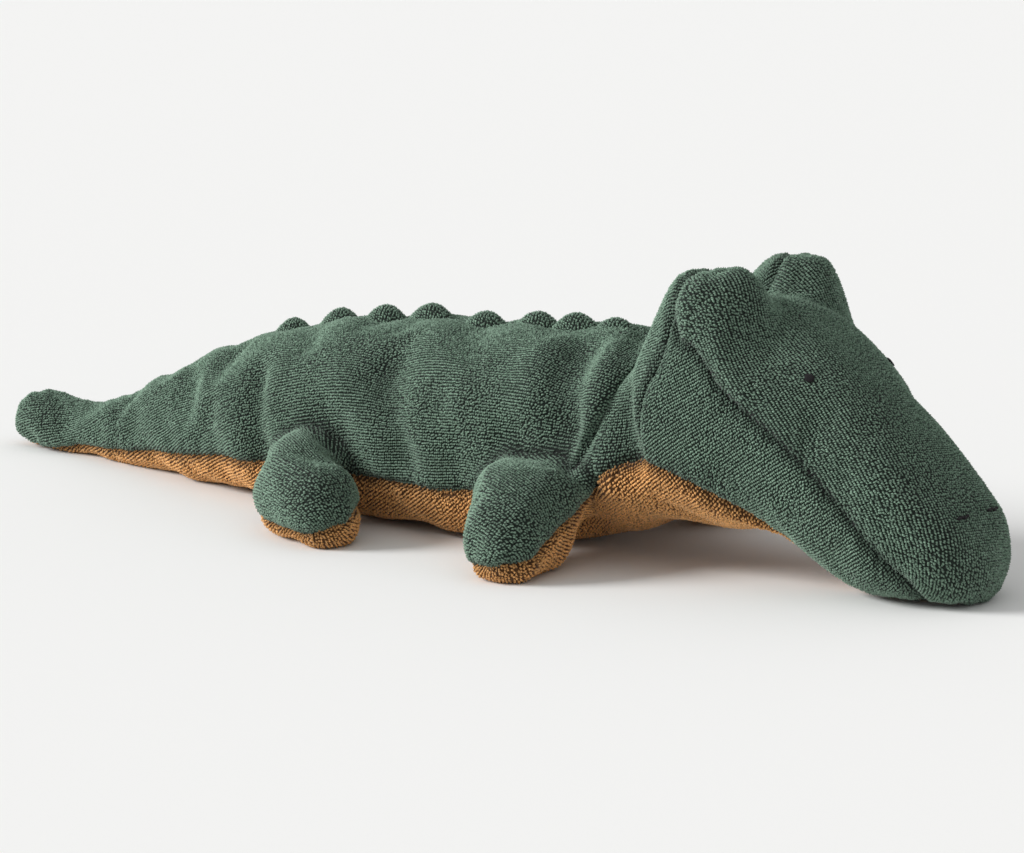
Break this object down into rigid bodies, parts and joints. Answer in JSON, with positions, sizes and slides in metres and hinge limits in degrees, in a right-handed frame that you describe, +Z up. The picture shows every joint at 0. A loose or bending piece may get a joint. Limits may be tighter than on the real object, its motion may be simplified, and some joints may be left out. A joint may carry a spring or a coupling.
{
  "type": "plush crocodile",
  "caption": "Stuffed terry-cloth crocodile lying flat, green above and ochre below, with scalloped back, short legs, long wedge head and bending neck, tail and legs.",
  "frame": {"origin": "on the floor under the middle of the toy, midway between tail tip and snout", "axes": "+X to the snout, +Y to the animal's left, +Z up"},
  "size_m": [0.522, 0.1866, 0.1094],
  "materials": {
    "green_terry": "dark grey-green looped terry cloth, matt",
    "ochre_terry": "ochre brown looped terry cloth, matt",
    "fibre_filling": "loose white polyester fibre",
    "black_thread": "black embroidery thread, slight sheen"
  },
  "bodies": {
    "torso": {"torso_filling": "fibre_filling", "torso_side_right": "green_terry", "torso_side_left": "green_terry", "torso_belly": "ochre_terry", "spine_scallop_1": "green_terry", "spine_scallop_2": "green_terry", "spine_scallop_3": "green_terry", "spine_scallop_4": "green_terry", "spine_scallop_5": "green_terry", "spine_scallop_6": "green_terry", "spine_scallop_7": "green_terry", "spine_scallop_8": "green_terry"},
    "tail": {"tail_filling": "fibre_filling", "tail_side_right": "green_terry", "tail_side_left": "green_terry", "tail_under": "ochre_terry"},
    "tail_tip": {"tail_tip_filling": "fibre_filling", "tail_tip_side_right": "green_terry", "tail_tip_side_left": "green_terry", "tail_tip_under": "ochre_terry"},
    "neck": {"neck_filling": "fibre_filling"},
    "head": {"head_filling": "fibre_filling", "nape_panel": "green_terry", "cheek_right": "green_terry", "head_top_panel": "green_terry", "cheek_left": "green_terry", "chin_panel": "ochre_terry", "eye_right": "black_thread", "eye_left": "black_thread", "nostril_right": "black_thread", "nostril_left": "black_thread"},
    "front_leg_right": {"front_leg_right_filling": "fibre_filling", "front_leg_right_top": "green_terry", "front_leg_right_sole": "ochre_terry"},
    "front_leg_left": {"front_leg_left_filling": "fibre_filling", "front_leg_left_top": "green_terry", "front_leg_left_sole": "ochre_terry"},
    "hind_leg_right": {"hind_leg_right_filling": "fibre_filling", "hind_leg_right_top": "green_terry", "hind_leg_right_sole": "ochre_terry"},
    "hind_leg_left": {"hind_leg_left_filling": "fibre_filling", "hind_leg_left_top": "green_terry", "hind_leg_left_sole": "ochre_terry"}
  },
  "joints": [
    {"name": "neck_turn", "type": "hinge", "parent": "torso", "child": "neck", "pos_m": [0.10805, 0, 0.04822], "axis": [0, 0, 1], "range_deg": [-16, 16], "stiffness_Nm_per_rad": 0.08},
    {"name": "head_lift", "type": "hinge", "parent": "neck", "child": "head", "pos_m": [0.10805, 0, 0.04822], "axis": [0, -1, 0], "range_deg": [0, 14], "stiffness_Nm_per_rad": 0.08},
    {"name": "tail_sway", "type": "hinge", "parent": "torso", "child": "tail", "pos_m": [-0.10805, 0, 0.02933], "axis": [0, 0, 1], "range_deg": [-17, 17], "stiffness_Nm_per_rad": 0.05},
    {"name": "tail_tip_sway", "type": "hinge", "parent": "tail", "child": "tail_tip", "pos_m": [-0.19001, 0, 0.01304], "axis": [0, 0, 1], "range_deg": [-18, 18], "stiffness_Nm_per_rad": 0.02},
    {"name": "front_leg_right_swing", "type": "hinge", "parent": "torso", "child": "front_leg_right", "pos_m": [0.07517, -0.04135, 0.022], "axis": [0, 0, 1], "range_deg": [-15, 9], "stiffness_Nm_per_rad": 0.02},
    {"name": "front_leg_left_swing", "type": "hinge", "parent": "torso", "child": "front_leg_left", "pos_m": [0.07517, 0.04135, 0.022], "axis": [0, 0, -1], "range_deg": [-15, 9], "stiffness_Nm_per_rad": 0.02},
    {"name": "hind_leg_right_swing", "type": "hinge", "parent": "torso", "child": "hind_leg_right", "pos_m": [-0.03184, -0.04444, 0.022], "axis": [0, 0, 1], "range_deg": [-15, 5], "stiffness_Nm_per_rad": 0.02},
    {"name": "hind_leg_left_swing", "type": "hinge", "parent": "torso", "child": "hind_leg_left", "pos_m": [-0.03184, 0.04444, 0.022], "axis": [0, 0, -1], "range_deg": [-15, 5], "stiffness_Nm_per_rad": 0.02}
  ]
}
